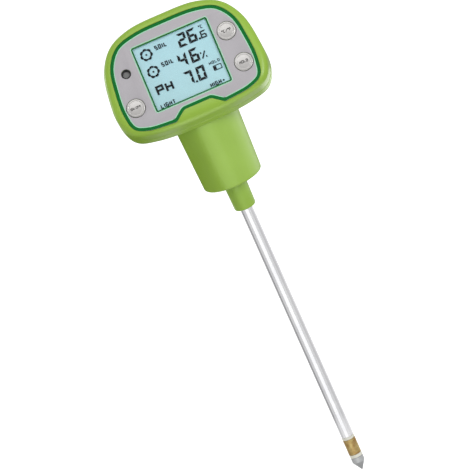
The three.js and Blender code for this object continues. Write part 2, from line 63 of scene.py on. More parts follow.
# %% The head's axes, from the mounting face on its back
MM = 0.001
mounts = {mount["name"]: mount for mount in frame["record"]["mounts"]}
back_point = Vector(mounts["head_back_face"]["pos_m"])
back_height = 28  # how far the mounting point is above the middle of the display
head_depth = 24  # crest of the bezel to the back

out_of_face = -Vector(mounts["head_back_face"]["axis"])
up_face = out_of_face.cross(Vector((1, 0, 0)))
face_centre = back_point + (head_depth * out_of_face - back_height * up_face) * MM

PROBE = Matrix.Scale(MM, 4)
HEAD = Matrix.Translation(face_centre) @ Matrix(
    ((1, up_face.x, out_of_face.x), (0, up_face.y, out_of_face.y), (0, up_face.z, out_of_face.z))
).to_4x4() @ PROBE
print("the head leans back by", round(math.degrees(math.asin(out_of_face.z)), 1), "degrees")


def heights(node):
    """The lowest and highest z of one of the probe's nodes, in millimetres."""
    low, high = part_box(node)
    return low.z / MM, high.z / MM


def radius_of(node):
    """Half the width of a round node, in millimetres."""
    low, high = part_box(node)
    return (high.x - low.x) / 2 / MM


# %% [markdown]
# ## Shader maths in plain Python
# A procedural material is a web of small maths nodes, and a web is hard to read. The class below wraps
# one output socket, so that an expression such as 1 - mask * 0.3 adds the nodes that it stands for.
# Colours and vectors would lose their colour in a Math node, so those go through Mix nodes.

# %% A socket that can be added and multiplied
class Signal:
    def __init__(self, finish, socket):
        self.finish = finish
        self.socket = socket

    def maths(self, operation, *values):
        return self.finish.node("ShaderNodeMath", {"operation": operation}, dict(enumerate(values)))

    def __add__(self, other):
        return self.maths("ADD", self, other)

    def __sub__(self, other):
        return self.maths("SUBTRACT", self, other)

    def __rsub__(self, other):
        return self.maths("SUBTRACT", other, self)

    def __mul__(self, other):
        return self.maths("MULTIPLY", self, other)

    __radd__ = __add__
    __rmul__ = __mul__


# %% A finish: one material, and the single method that adds any node to it
class Finish:
    def __init__(self, name, colour, roughness, metallic=0.0, **fixed):
        self.material = bpy.data.materials.new(name)
        self.material.use_nodes = True
        self.tree = self.material.node_tree
        self.shader = self.tree.nodes["Principled BSDF"]
        self.feed("Base Color", (*colour, 1))
        self.feed("Roughness", roughness)
        self.feed("Metallic", metallic)
        for socket, value in fixed.items():
            self.feed(socket.replace("_", " ").title().replace("Ior", "IOR"), value)

    def feed(self, socket, value):
        """Sets one of the shader's sockets, or links a signal to it."""
        if isinstance(value, Signal):
            self.tree.links.new(value.socket, self.shader.inputs[socket])
        else:
            self.shader.inputs[socket].default_value = value

    def node(self, kind, settings=None, sockets=None, output=0):
        """Adds a node: its settings first, then the values or signals of its sockets."""
        made = self.tree.nodes.new(kind)
        for name, value in (settings or {}).items():
            if name == "stops":
                for _ in range(len(value) - 2):
                    made.color_ramp.elements.new(0.5)
                for element, (position, shade) in zip(made.color_ramp.elements, value):
                    element.position = position
                    element.color = (*shade, 1) if isinstance(shade, tuple) else (shade, shade, shade, 1)
            else:
                setattr(made, name, value)
        for name, value in (sockets or {}).items():
            if isinstance(value, Signal):
                self.tree.links.new(value.socket, made.inputs[name])
            else:
                made.inputs[name].default_value = value
        return Signal(self, made.outputs[output])

    def place(self, stretch=(1, 1, 1)):
        """Where the shaded point is on the meter, in metres, stretched along each axis."""
        point = self.node("ShaderNodeTexCoord", output="Object")
        return self.node("ShaderNodeMapping", None, {"Vector": point, "Scale": stretch})

    def noise(self, scale, detail=3.0, stretch=(1, 1, 1)):
        sockets = {"Vector": self.place(stretch), "Scale": scale, "Detail": detail}
        return self.node("ShaderNodeTexNoise", None, sockets)

    def ramp(self, signal, *stops):
        return self.node("ShaderNodeValToRGB", {"stops": stops}, {"Fac": signal})

    def blend(self, mask, first, second):
        """The first colour where the mask is 0, the second where it is 1."""
        sockets = {"Factor": mask, 6: first, 7: second}
        return self.node("ShaderNodeMix", {"data_type": "RGBA"}, sockets, output=2)

    def bump(self, height, depth_mm, strength=1.0):
        sockets = {"Height": height, "Distance": depth_mm * MM, "Strength": strength}
        self.feed("Normal", self.node("ShaderNodeBump", None, sockets))


# %% [markdown]
# ## The finishes
# Moulded plastic is never one flat colour: the pigment is slightly cloudy, the tool leaves a fine
# sparkle-like texture, and handling polishes it in patches. Metals differ mostly in roughness:
# the probe is polished along its length and then scratched by soil, the tip still has its turning marks.

# %% Plastics
def moulded_plastic(name, light, dark, roughness, grain_mm=0.012, **fixed):
    """Pigmented plastic: cloudy colour, polished patches and a fine moulded grain."""
    finish = Finish(name, light, roughness, **fixed)
    clouds = finish.noise(28, 4)
    patches = finish.noise(75, 3)
    finish.feed("Base Color", finish.blend(finish.ramp(clouds, (0.35, 0), (0.7, 1)), (*light, 1), (*dark, 1)))
    finish.feed("Roughness", patches * 0.14 + (roughness - 0.07))
    finish.bump(finish.noise(2600, 2), grain_mm, 0.35)
    return finish


green_light, green_dark = (0.32, 0.525, 0.05), (0.285, 0.475, 0.04)
leaf_green = moulded_plastic(
    "leaf_green_plastic", green_light, green_dark, 0.38, coat_weight=0.1, coat_roughness=0.25
)
pearl_light, pearl_dark = (0.60, 0.585, 0.57), (0.54, 0.525, 0.51)
pearl_grey = moulded_plastic("pearl_grey_button_plastic", pearl_light, pearl_dark, 0.26, 0.005, metallic=0.35)
soft_black = moulded_plastic("soft_black_plastic", (0.018, 0.018, 0.02), (0.03, 0.03, 0.03), 0.45)
warm_white = moulded_plastic("warm_white_plastic", (0.86, 0.85, 0.74), (0.79, 0.78, 0.67), 0.42)
cell_grey = moulded_plastic("light_cell_grey", (0.24, 0.24, 0.24), (0.17, 0.17, 0.17), 0.5, 0.03)
dark_rubber = moulded_plastic("dark_rubber", (0.022, 0.022, 0.022), (0.035, 0.034, 0.033), 0.75, 0.02)
print("plastics made:", len(bpy.data.materials))

# %% Printed foil, inks and the display
foil_grey = Finish("faceplate_grey_foil", (0.47, 0.45, 0.475), 0.5, specular_ior_level=0.25)
foil_speckle = foil_grey.noise(5200, 2)
foil_mask = foil_grey.ramp(foil_speckle, (0.3, 0), (0.7, 1))
foil_grey.feed("Base Color", foil_grey.blend(foil_mask, (0.44, 0.42, 0.445, 1), (0.52, 0.50, 0.525, 1)))
foil_grey.feed("Roughness", foil_grey.noise(160, 3) * 0.16 + 0.38)
foil_grey.bump(foil_speckle, 0.01, 0.4)


def ink(name, colour, shade, roughness=0.35):
    """Screen-printed ink, a little thicker in some places than in others."""
    finish = Finish(name, colour, roughness, specular_ior_level=0.12)
    cover = finish.noise(900, 3)
    finish.feed("Base Color", finish.blend(cover, (*colour, 1), (*shade, 1)))
    finish.feed("Roughness", cover * 0.15 + (roughness - 0.07))
    return finish


border_green = ink("border_green_ink", (0.004, 0.185, 0.03), (0.003, 0.15, 0.024), 0.5)
mint_line = ink("mint_line_ink", (0.44, 0.86, 0.58), (0.40, 0.80, 0.54))
segment_black = ink("segment_black_ink", (0.002, 0.003, 0.005), (0.004, 0.006, 0.008), 0.6)
legend_grey = ink("legend_grey_ink", (0.035, 0.033, 0.033), (0.05, 0.047, 0.047), 0.5)
segment_shadow = ink("segment_shadow_tint", (0.30, 0.52, 0.60), (0.31, 0.54, 0.62), 0.5)

display_blue = Finish("display_light_blue", (0.46, 0.745, 0.80), 0.28)
# The display is painted paler at its foot and darker at its top: a painted shade across the glass, standing
# in for how the light falls on it.
display_height = display_blue.node("ShaderNodeSeparateXYZ", None, {0: display_blue.place()}, output="Z")
display_low, display_high = (corner.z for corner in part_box("lcd_glass"))
painted_shade_share = (display_height - display_low) * (1 / (display_high - display_low))
display_lit_foot, display_shaded_top = (0.49, 0.765, 0.81, 1), (0.43, 0.715, 0.79, 1)
display_blue.feed("Base Color", display_blue.blend(painted_shade_share, display_lit_foot, display_shaded_top))
display_blue.feed("Roughness", display_blue.noise(1800, 2) * 0.1 + 0.22)

# The clear window lets the display through and adds only its own gloss.
clear_window = Finish("clear_window_acrylic", (1, 1, 1), 0.06)
window_gloss = clear_window.node("ShaderNodeFresnel", None, {"IOR": 1.45})
window_streaks = clear_window.noise(40, 2)
clear_window.feed("Roughness", window_streaks * 0.05 + 0.04)
see_through = clear_window.node("ShaderNodeBsdfTransparent")
window_mix = clear_window.node(
    "ShaderNodeMixShader",
    None,
    {0: window_gloss * 0.25, 1: see_through, 2: Signal(clear_window, clear_window.shader.outputs[0])},
)
clear_window.tree.links.new(window_mix.socket, clear_window.tree.nodes["Material Output"].inputs["Surface"])
print("finishes so far:", len(bpy.data.materials))


# %% Metals
def turned_metal(name, colour, shade, roughness, marks=(1, 1, 60), stain_size=55):
    """Metal from a lathe or a drawing die: the marks are noise stretched across or along the piece."""
    finish = Finish(name, colour, roughness, 1.0)
    lines = finish.noise(160, 4, marks)
    stains = finish.ramp(finish.noise(stain_size, 3), (0.4, 0), (0.62, 1))
    finish.feed("Base Color", finish.blend(stains, (*colour, 1), (*shade, 1)))
    finish.feed("Roughness", lines * 0.22 + (roughness - 0.11))
    finish.bump(lines, 0.012, 0.3)
    return finish


bright_probe = turned_metal("bright_drawn_metal", (0.86, 0.86, 0.87), (0.80, 0.80, 0.82), 0.2, (40, 40, 1))
brass = turned_metal("satin_brass", (0.53, 0.41, 0.17), (0.38, 0.235, 0.085), 0.28, stain_size=260)
dull_zinc = turned_metal("dull_turned_zinc", (0.52, 0.53, 0.53), (0.43, 0.44, 0.45), 0.3)
dull_zinc.feed("Metallic", 0.65)
plated_steel = turned_metal("plated_steel", (0.62, 0.63, 0.64), (0.54, 0.55, 0.57), 0.3, (1, 1, 1))
print("finishes so far:", len(bpy.data.materials))

# %% Finishes of the inner pieces
board_mask = Finish("circuit_board_mask", (0.02, 0.16, 0.05), 0.4, coat_weight=0.3)
copper_lines = board_mask.node(
    "ShaderNodeTexBrick",
    {"offset": 0.37, "squash": 0.6},
    {"Vector": board_mask.place(), "Scale": 260, "Mortar Size": 0.09, "Brick Width": 1.7, "Row Height": 0.5},
    output="Fac",
)
board_mask.feed("Base Color", board_mask.blend(copper_lines, (0.015, 0.13, 0.04, 1), (0.04, 0.24, 0.08, 1)))
board_mask.feed("Roughness", board_mask.noise(400, 3) * 0.15 + 0.3)
board_mask.bump(copper_lines, 0.03, 0.6)

foam = Finish("open_cell_foam", (0.05, 0.05, 0.052), 0.95)
foam_cells = foam.node("ShaderNodeTexVoronoi", None, {"Vector": foam.place(), "Scale": 1500})
foam.feed("Base Color", foam.blend(foam_cells, (0.018, 0.018, 0.019, 1), (0.10, 0.10, 0.105, 1)))
foam.feed("Roughness", foam.noise(500, 2) * 0.1 + 0.88)
foam.bump(foam_cells, 0.35)

battery_wrap = Finish("printed_battery_wrap", (0.03, 0.032, 0.038), 0.32)
wrap_height = battery_wrap.node("ShaderNodeSeparateXYZ", None, {0: battery_wrap.place()}, output="Z")
battery_bottom = heights("battery_9v")[0]
battery_case_height = 46
wrap_share = (wrap_height - battery_bottom * MM) * (1 / (battery_case_height * MM))
battery_band = battery_wrap.ramp(wrap_share, (0.0, 0), (0.66, 0), (0.67, 1), (0.93, 1), (0.94, 0))
wrap_black, wrap_copper = (0.028, 0.030, 0.036, 1), (0.62, 0.30, 0.07, 1)
battery_wrap.feed("Base Color", battery_wrap.blend(battery_band, wrap_black, wrap_copper))
battery_wrap.feed("Metallic", battery_band * 0.7)
battery_wrap.feed("Roughness", battery_wrap.noise(120, 3) * 0.14 + 0.25)


def insulation(name, colour):
    """Soft wire insulation: slightly dusty, with a faint sheen that changes along the wire."""
    finish = Finish(f"{name}_insulation", colour, 0.45)
    dust = finish.noise(700, 3)
    paler = tuple(0.85 * channel + 0.05 for channel in colour)
    finish.feed("Base Color", finish.blend(dust, (*colour, 1), (*paler, 1)))
    finish.feed("Roughness", dust * 0.2 + 0.35)
    return finish


wire_colours = {
    "red": (0.45, 0.02, 0.015),
    "black": (0.015, 0.015, 0.016),
    "white": (0.68, 0.68, 0.66),
    "orange": (0.58, 0.26, 0.01),
    "blue": (0.02, 0.09, 0.38),
}
wire_finishes = {name: insulation(name, colour) for name, colour in wire_colours.items()}
print("finishes so far:", len(bpy.data.materials))

# %% [markdown]
# ## Tools for making shapes
# Nearly every piece of this meter is one of three things: a row of outlines joined into a skin (a loft),
# a profile turned round an axis (a lathe), or a plate cut from an outline. Holes are cut with Boolean
# modifiers, and the sharp edges that they leave are rounded with a Bevel modifier, as a mould would.


# %% Lofting and turning
def lofted(rings, wrap=False):
    """A skin over rings of equally many points, closed at both ends or wrapped round, faces outward."""
    shape = bmesh.new()
    rows = [[shape.verts.new(point) for point in ring] for ring in rings]
    pairs = list(zip(rows, rows[1:])) + ([(rows[-1], rows[0])] if wrap else [])
    for lower, upper in pairs:
        for i in range(len(lower)):
            j = (i + 1) % len(lower)
            shape.faces.new((lower[i], lower[j], upper[j], upper[i]))
    if not wrap:
        shape.faces.new(list(reversed(rows[0])))
        shape.faces.new(rows[-1])
    bmesh.ops.recalc_face_normals(shape, faces=shape.faces)
    return shape


same_point = 1e-4  # points of a turned shape that are closer than this become one, as on its axis


def turned(profile, steps=96):
    """A profile of (radius, z) turned round the z axis; a radius of 0 makes a point on the axis."""
    rings = []
    for radius, z in profile:
        turn = [2 * math.pi * i / steps for i in range(steps)]
        rings.append([Vector((radius * math.cos(a), radius * math.sin(a), z)) for a in turn])
    closed = profile[0] == profile[-1]
    shape = lofted(rings[:-1] if closed else rings, wrap=closed)
    bmesh.ops.remove_doubles(shape, verts=shape.verts, dist=same_point)
    return shape


def arc(cx, cy, radius, start, end, steps=8):
    """Points on an arc; the angles are in degrees."""
    angles = [math.radians(start + (end - start) * i / steps) for i in range(steps + 1)]
    return [(cx + radius * math.cos(a), cy + radius * math.sin(a)) for a in angles]


def joined(*shapes):
    """Several shapes as one."""
    whole = bmesh.new()
    for shape in shapes:
        part = bpy.data.meshes.new("part")
        shape.to_mesh(part)
        whole.from_mesh(part)
        bpy.data.meshes.remove(part)
    return whole


def moved(shape, x=0.0, y=0.0, z=0.0):
    bmesh.ops.translate(shape, verts=shape.verts, vec=(x, y, z))
    return shape


# %% Outlines
def smooth_line(points, closed, steps=16):
    """A centripetal Catmull-Rom curve through the points, the curve that the mouldings were drawn with."""
    points = [Vector(point) for point in points]
    if closed:
        line = [points[-1], *points, *points[:2]]
    else:
        line = [2 * points[0] - points[1], *points, 2 * points[-1] - points[-2]]
    result = []
    for before, start, end, after in zip(line, line[1:], line[2:], line[3:]):
        gaps = [math.sqrt((b - a).length) for a, b in ((before, start), (start, end), (end, after))]
        first = (start - before) / gaps[0] - (end - before) / (gaps[0] + gaps[1]) + (end - start) / gaps[1]
        last = (end - start) / gaps[1] - (after - start) / (gaps[1] + gaps[2]) + (after - end) / gaps[2]
        first, last = first * gaps[1], last * gaps[1]
        for i in range(steps):
            t = i / steps
            cubic = 2 * start - 2 * end + first + last
            square = 3 * end - 3 * start - 2 * first - last
            result.append(start + first * t + square * t**2 + cubic * t**3)
    return result if closed else [*result, points[-1]]


def mirrored(half, closed):
    left = [(-x, y) for x, y in reversed(half[1 if closed else 0 : -1])]
    return [*half, *left]


def inset(outline, distance, closed=True):
    """The outline moved to its left by the distance, with mitred corners."""
    count = len(outline)
    result = []
    for i, point in enumerate(outline):
        before = outline[i - 1] if closed or i else 2 * point - outline[1]
        after = outline[(i + 1) % count] if closed or i < count - 1 else 2 * point - outline[-2]
        sides = [(point - before).normalized(), (after - point).normalized()]
        normals = [Vector((-side.y, side.x)) for side in sides]
        mitre = (normals[0] + normals[1]) / (1 + normals[0].dot(normals[1]))
        result.append(point + mitre * distance)
    return result


quarters = (0, 0.25, 0.5, 0.75, 1)


def softened(outline, radius, sharpest=20):
    """The outline with each corner that turns by more than a few degrees rounded off."""
    result = []
    for i, point in enumerate(outline):
        before, after = outline[i - 1], outline[(i + 1) % len(outline)]
        turn = math.degrees((point - before).angle(after - point))
        if turn < sharpest:
            result.append(point)
            continue
        start = point + (before - point).normalized() * min(radius, (before - point).length * 0.45)
        end = point + (after - point).normalized() * min(radius, (after - point).length * 0.45)
        for t in quarters:
            result.append(start * (1 - t) ** 2 + point * 2 * t * (1 - t) + end * t**2)
    return result


def rounded_rectangle(width, height, radius, cx=0.0, cy=0.0, steps=6):
    x, y = width / 2 - radius, height / 2 - radius
    corners = [(x, y, 0), (-x, y, 90), (-x, -y, 180), (x, -y, 270)]
    return [
        Vector(point)
        for dx, dy, start in corners
        for point in arc(cx + dx, cy + dy, radius, start, start + 90, steps)
    ]


def circle(radius, cx=0.0, cy=0.0, steps=48):
    return [Vector(point) for point in arc(cx, cy, radius, 0, 360, steps)[:-1]]


def at(outline, w):
    """A flat outline as points at the height w."""
    return [Vector((point.x, point.y, w)) for point in outline]


def upright(outline, y):
    """A flat outline stood on its foot, as points at the depth y."""
    return [Vector((point.x, y, point.y)) for point in outline]


def slab(outline, low, high, edge=0.0):
    """A plate with an outline, its rims rounded by the edge."""
    if not edge:
        return lofted([at(outline, low), at(outline, high)])
    quarter = [(edge - edge * math.cos(a), edge * math.sin(a)) for a in (0, 0.39, 0.79, 1.18, math.pi / 2)]
    lower = [at(inset(outline, d), low + edge - rise) for d, rise in reversed(quarter)]
    upper = [at(inset(outline, d), high - edge + rise) for d, rise in quarter]
    return lofted(lower + upper)


def stroke(points, width, low, high, closed=False):
    """A flat line of a constant width along the points, as printed or etched."""
    points = [Vector(point) for point in points]
    left, right = inset(points, width / 2, closed), inset(points, -width / 2, closed)
    rings = [
        [(l.x, l.y, low), (r.x, r.y, low), (r.x, r.y, high), (l.x, l.y, high)] for l, r in zip(left, right)
    ]
    return lofted(rings, wrap=closed)


# %% Objects, cuts and rounded edges
def placed(name, shape, axes=PROBE):
    """An object made of the shape, carried from the millimetres it was drawn in to the meter's axes."""
    mesh = bpy.data.meshes.new(name)
    bmesh.ops.transform(shape, matrix=axes, verts=shape.verts)
    shape.to_mesh(mesh)
    shape.free()
    piece = bpy.data.objects.new(name, mesh)
    bpy.context.scene.collection.objects.link(piece)
    return piece


def applied(piece):
    """Bakes the piece's modifiers into its mesh."""
    graph = bpy.context.evaluated_depsgraph_get()
    plain = piece.data
    piece.data = bpy.data.meshes.new_from_object(piece.evaluated_get(graph))
    piece.modifiers.clear()
    piece.data.name = piece.name
    bpy.data.meshes.remove(plain)
    return piece


def cut(piece, *tools, how="DIFFERENCE"):
    """Cuts the tools from the piece, or joins or keeps what they share, and removes them."""
    for tool in tools:
        modifier = piece.modifiers.new("cut", "BOOLEAN")
        modifier.operation = how
        modifier.solver = "EXACT"
        modifier.object = tool
        applied(piece)
        bpy.data.objects.remove(tool)
    return piece


def round_edges(piece, width_mm, segments=3, angle=35):
    bevel = piece.modifiers.new("round", "BEVEL")
    bevel.width = width_mm * MM
    bevel.segments = segments
    bevel.limit_method = "ANGLE"
    bevel.angle_limit = math.radians(angle)
    bevel.use_clamp_overlap = True
    return applied(piece)


def without_slivers(piece):
    """Removes the edges shorter than a micrometre that cuts and rounding can leave."""
    shape = bmesh.new()
    shape.from_mesh(piece.data)
    bmesh.ops.dissolve_degenerate(shape, dist=0.001 * MM, edges=shape.edges)
    shape.to_mesh(piece.data)
    shape.free()
    return piece


def dressed(piece, finish, body, slot, *replaced, smooth=40):
    """Gives the piece its finish and its body, and hides the plain solids that it stands for."""
    piece.data.materials.clear()
    piece.data.materials.append(finish.material)
    piece.data.polygons.foreach_set("use_smooth", [True] * len(piece.data.polygons))
    piece.data.set_sharp_from_angle(angle=math.radians(smooth))
    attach(piece, body)
    if replaced:
        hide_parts(*replaced)
    print(f"{piece.name}: {len(piece.data.polygons)} faces, on {body}")
    return piece


# %% [markdown]
# ## Camera, floor and light
# The view is from the front and a little above, from far away with a long lens, and the camera is
# rolled, so that the meter lies across the picture on a slant. The light is that of a catalogue:
# a soft key from the right, a light from above, a rim light from behind, and two weak fills, on the left
# and below, that keep the shaded green from going dull. The fills are kept out of reflections.

# %% Camera
view_azimuth = math.radians(2)
view_elevation = math.radians(18)
view_roll = math.radians(24)
view_distance = 12.0  # far enough for the view to be nearly parallel
picture_width = 0.3097
towards_camera = Vector(
    (
        math.sin(view_azimuth) * math.cos(view_elevation),
        -math.cos(view_azimuth) * math.cos(view_elevation),
        math.sin(view_elevation),
    )
)
level_right = Vector((math.cos(view_azimuth), math.sin(view_azimuth), 0))
level_up = towards_camera.cross(level_right)
picture_middle = Vector((0, 0, 0.185)) - 0.0140 * level_right
camera_right = math.cos(view_roll) * level_right - math.sin(view_roll) * level_up
camera_up = math.sin(view_roll) * level_right + math.cos(view_roll) * level_up

camera = bpy.data.objects.new("camera", bpy.data.cameras.new("camera"))
camera.data.sensor_width = 36
camera.data.lens = camera.data.sensor_width * view_distance / picture_width
camera.data.clip_end = 3 * view_distance
camera.matrix_world = Matrix.Translation(picture_middle + towards_camera * view_distance) @ Matrix(
    (camera_right, camera_up, towards_camera)
).transposed().to_4x4()
bpy.context.scene.collection.objects.link(camera)
bpy.context.scene.camera = camera
print("lens:", round(camera.data.lens), "mm")

# %% Floor
floor_finish = Finish("pale_studio_paper", (0.8, 0.8, 0.8), 0.9)
floor_finish.feed("Roughness", floor_finish.noise(300, 3) * 0.1 + 0.85)
floor_finish.feed("Emission Color", (1, 1, 1, 1))
floor_finish.feed("Emission Strength", 0.75)
floor_reach = 30
floor_shape = bmesh.new()
floor_corners = [(-floor_reach, -floor_reach, 0), (floor_reach, -floor_reach, 0)]
floor_corners += [(floor_reach, floor_reach, 0), (-floor_reach, floor_reach, 0)]
floor_shape.faces.new([floor_shape.verts.new(corner) for corner in floor_corners])
floor = placed("studio_floor", floor_shape, Matrix.Translation((0, 0, -MM)))
floor.data.materials.append(floor_finish.material)
floor.visible_diffuse = False  # it stays out of the meter's own shading, which would go flat
floor.visible_glossy = False
floor.visible_shadow = False  # so that a light can stand below it


# %% Lights
def direction(azimuth, elevation):
    """The direction from the meter to something; azimuth 0 is in front, and 90 is to the right."""
    a, e = math.radians(azimuth), math.radians(elevation)
    return Vector((math.sin(a) * math.cos(e), -math.cos(a) * math.cos(e), math.sin(e)))


def soft_light(name, azimuth, elevation, distance, size, power, seen_in_gloss=True):
    """A square soft light that looks at the middle of the meter."""
    towards = direction(azimuth, elevation)
    lamp = bpy.data.objects.new(name, bpy.data.lights.new(name, "AREA"))
    lamp.data.size = size
    lamp.data.energy = power
    lamp.location = picture_middle + towards * distance
    lamp.rotation_euler = towards.to_track_quat("Z", "Y").to_euler()
    lamp.visible_camera = False
    lamp.visible_glossy = seen_in_gloss
    bpy.context.scene.collection.objects.link(lamp)


soft_light("key_from_the_right", 42, 28, 1.3, 0.5, 5.7)
soft_light("top_light", 0, 72, 1.4, 0.9, 3.4)
soft_light("rim_from_behind_left", -125, 15, 1.5, 0.4, 4.0)
soft_light("fill_from_the_left", -72, -5, 0.9, 0.5, 0.9, seen_in_gloss=False)
soft_light("fill_from_below", 25, -70, 0.9, 0.5, 0.9, seen_in_gloss=False)

world = bpy.data.worlds.new("studio")
world.use_nodes = True
world.node_tree.nodes["Background"].inputs["Color"].default_value = (1, 1, 1, 1)
world.node_tree.nodes["Background"].inputs["Strength"].default_value = 0.5
bpy.context.scene.world = world
bpy.context.scene.view_settings.view_transform = "Standard"

# %% [markdown]
# ## Cards for the metal to reflect
# A polished rod has no look of its own: it shows what stands round it. In a studio, pale and dark cards
# stand round such a thing. Each card here has its own glow and is seen only in reflections, so it draws
# the long light and dark lines down the rod without lighting anything else. The cards round the tip are
# more alike, because the rod looks paler there. The grip has a ring of its own, bright in front and on the
# right and black on the left, which gives the plastic one soft band of sheen.

# %% Reflection cards
def card_ring(name, radius, low, high, cards):
    """Cards on a ring round the meter: each runs from one azimuth to another, and glows by its own amount."""
    steps = 8
    for number, (start, end, glow) in enumerate(cards, 1):
        shape = bmesh.new()
        foot = [direction(start + (end - start) * i / steps, 0) * radius for i in range(steps + 1)]
        rows = [[shape.verts.new((point.x, point.y, z)) for point in foot] for z in (low, high)]
        for i in range(steps):
            shape.faces.new((rows[0][i], rows[0][i + 1], rows[1][i + 1], rows[1][i]))
        card = placed(f"{name}_{number}", shape, Matrix.Identity(4))
        paper = Finish(f"{name}_{number}_paper", (0, 0, 0), 1.0, emission_strength=glow)
        paper.feed("Emission Color", (1, 1, 1, 1))
        paper.feed("Roughness", paper.noise(20, 1) * 0.1 + 0.9)
        card.data.materials.append(paper.material)
        card.visible_camera = False
        card.visible_diffuse = False
        card.visible_shadow = False
        card.visible_transmission = False


probe_cards = [
    (-150, -120, 0.95), (-118, -84, 0.32), (-80, -40, 0.70), (-36, 22, 1.20), (26, 62, 0.78), (64, 108, 0.64),
    (110, 150, 0.95),
]
grip_cards = [(-175, -42, 0.0), (-33, 14, 2.6), (16, 58, 1.7), (60, 125, 2.0)]
tip_cards = [(start, end, 0.4 + 0.62 * glow) for start, end, glow in probe_cards]
ring_foot, tip_ring_top, probe_ring_top, grip_ring_top = -0.06, 0.02, 0.19, 0.268
card_ring("tip_card", 0.06, ring_foot, tip_ring_top, tip_cards)
card_ring("probe_card", 0.06, tip_ring_top, probe_ring_top, probe_cards)
card_ring("grip_card", 0.07, probe_ring_top, grip_ring_top, grip_cards)
print("cards:", len(tip_cards + probe_cards + grip_cards))

# %% [markdown]
# ## The head's mouldings
# The front cover is one loft: it rises from the parting line, rolls over into the bezel and ends flat.
# The pocket for the faceplate, the display's window and the holes are then cut out of it, because
# their outlines don't follow the head's, and every edge that the cuts leave is rounded.

# %% Outlines of the head and of the faceplate
head_half = [
    (0, -38), (34, -35.8), (47.5, -31.2), (53.2, -20), (53.2, -3), (49.2, 17), (39.5, 30.9), (24, 37.6),
    (0, 39),
]
plate_half = [
    (17.2, -35), (36.5, -32.7), (44.9, -28.3), (47.8, -17), (47.2, 0), (43.9, 17), (35.4, 28.1), (22, 32.4),
    (0, 33.4),
]
notch = [Vector((-9.6, -29.1)), Vector((9.6, -29.1))]
head_outline = smooth_line(mirrored(head_half, True), True, 12)
plate_outline = softened([*smooth_line(mirrored(plate_half, False), False, 10), *notch], 1.4)

parting = -13.0
wall = 2.2
above_face = 2.0  # where the cuts into the face begin
beyond = 1.0  # how far a cut runs past the piece that it cuts
pocket_floor = -1.2
cover_inside = pocket_floor - 2
window = rounded_rectangle(54, 47.6, 1.5)
button_places = {"power": (-38.5, -15.2), "unit": (35.9, 9.1), "hold": (38.5, -15.2)}
button_hole = 6.55
sensor_place = (-35.9, 9.0)
sensor_hole = 3.35
print("points round the head:", len(head_outline))


# %% Front cover
def plate_tool(outline, low, high):
    """A plate to cut with, laid on the head's lean."""
    return placed("plate_tool", slab(outline, low, high), HEAD)


def hole(radius, place, low, high):
    return plate_tool(circle(radius, *place), low, high)


def face_openings(low, high):
    """Tools for the openings that the front cover and the faceplate share."""
    holes = [hole(button_hole, place, low, high) for place in button_places.values()]
    return [plate_tool(window, low, high), *holes, hole(sensor_hole, sensor_place, low, high)]


def quarter_turn(steps):
    """Angles from nought to a right angle, in radians."""
    return [math.radians(90 * i / steps) for i in range(steps + 1)]


def front_cover():
    roll_width, roll_height, lip, pocket_gap = 5.2, 4.6, 0.35, 0.2
    rings = [at(inset(head_outline, lip), parting), at(head_outline, parting + lip)]
    for turn in quarter_turn(12):
        inward = roll_width * (1 - math.cos(turn))
        rings.append(at(inset(head_outline, inward), -roll_height + roll_height * math.sin(turn)))
    cover = placed("front_cover_moulding", lofted(rings), HEAD)
    inside = plate_tool(inset(head_outline, wall), parting - beyond, cover_inside)
    pocket = plate_tool(inset(plate_outline, -pocket_gap), pocket_floor, above_face)
    cut(cover, inside, pocket, *face_openings(cover_inside - beyond, above_face))
    without_slivers(round_edges(cover, 0.3))
    return dressed(cover, leaf_green, "meter", "green_plastic", "front_cover")


front_cover()

# %% [markdown]
# ## The rear housing and the grip
# The rear housing is the back of the head and the grip in one moulding. Here it is two closed shells,
# a loft and a turned barrel with a domed top, joined by a Boolean. The grip is hollow, and its back has
# a doorway for the battery door, so it has real walls that can be seen when the door is open. The posts
# that take the screws inside the head are left out of both mouldings, so round each screw head its hole
# is open to the inside, where the engineering model has a seat.

# %% Grip barrel
barrel_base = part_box("rear_housing")[0].z / MM
barrel_base_radius = 20.3
dome_centre = 292
dome_radius = 23.0
barrel_wall = 2.2


def barrel_radius(z):
    share = (z - barrel_base) / (dome_centre - barrel_base)
    return barrel_base_radius + (dome_radius - barrel_base_radius) * share


def barrel_profile(inward, base, edge):
    """The grip's outside, or its inside, from its flat base to the top of its dome."""
    foot = barrel_radius(base) - inward
    corner = arc(foot - edge, base + edge, edge, -90, 0, 6)
    sides = [(barrel_radius(z) - inward, z) for z in range(int(base) + 8, dome_centre, 8)]
    dome = arc(0, dome_centre, dome_radius - inward, 0, 90, 18)
    dome[-1] = (0, dome[-1][1])
    return [(0, base), *corner, *sides, *dome]


def barrel_outside():
    return turned(barrel_profile(0, barrel_base, 1.3), 120)


door_low, door_high, door_half = 235, 289, 14


def doorway_tool(shrink):
    """A block with rounded corners that runs out through the back of the grip."""
    near, far = 5, 45
    middle = (door_low + door_high) / 2
    size = (2 * (door_half - shrink), door_high - door_low - 2 * shrink)
    outline = rounded_rectangle(*size, 1.6 - shrink, 0, middle)
    return placed("doorway", lofted([upright(outline, y) for y in (near, far)]))


# %% Rear housing
screw_places = [(-38.5, 22.5), (38.5, 22.5), (-37, -28), (37, -28)]
screw_opening = 3.3
screw_seat = -16.4
back_plane = -head_depth


